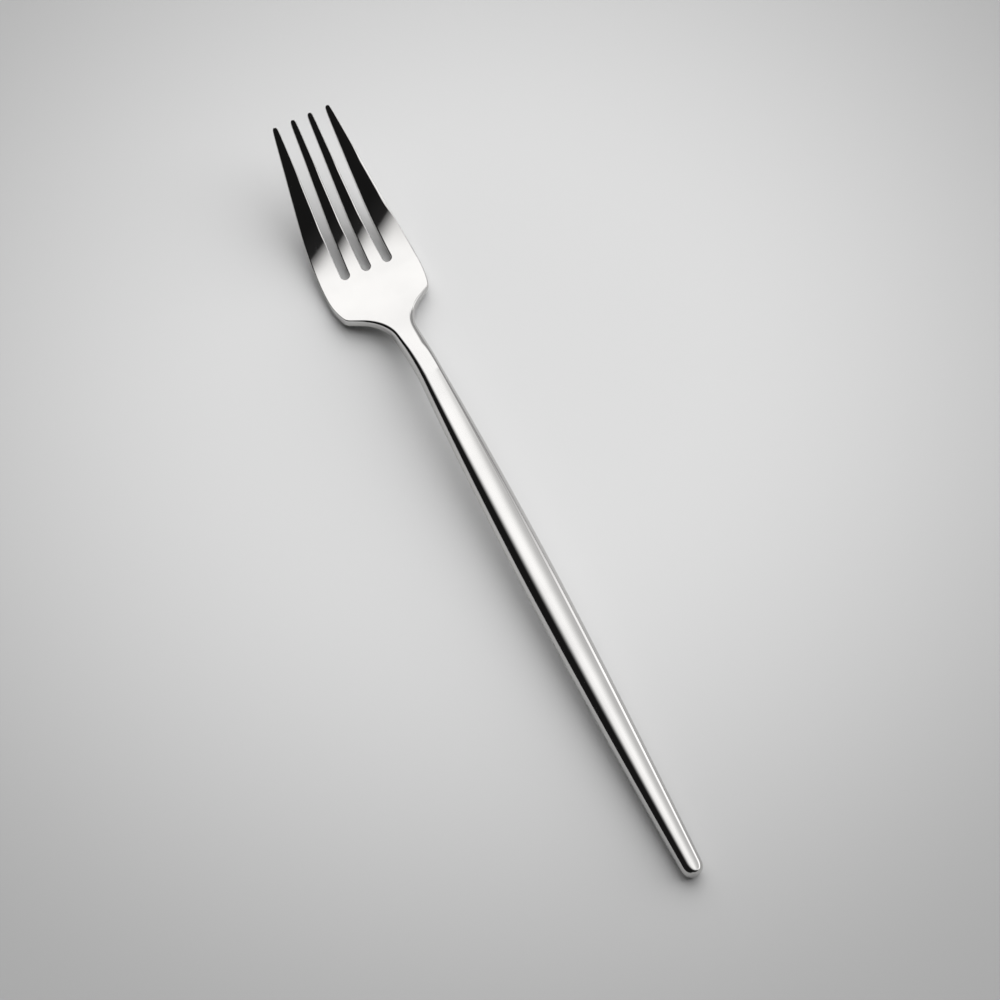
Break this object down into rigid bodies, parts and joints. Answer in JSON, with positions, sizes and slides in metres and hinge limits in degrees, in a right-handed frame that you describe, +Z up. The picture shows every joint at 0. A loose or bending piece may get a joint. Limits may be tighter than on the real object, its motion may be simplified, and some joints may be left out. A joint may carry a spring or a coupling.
{
  "type": "salad fork",
  "caption": "Slim polished steel salad fork with tapering tines, a flat head with sloping shoulders, a rising neck and a long oval hollow handle with a domed end.",
  "frame": {"origin": "middle of the fork's length and width, on the table that it lies on", "axes": "+X along the fork toward the tine tips, +Y to the left seen from the handle, +Z up from the table"},
  "size_m": [0.186, 0.022, 0.0187],
  "materials": {
    "polished_steel": "polished",
    "handle_filler": "matte"
  },
  "bodies": {
    "root": {"fork_head": "polished_steel", "handle_upper_shell": "polished_steel", "handle_lower_shell": "polished_steel", "handle_core": "handle_filler"}
  },
  "joints": []
}
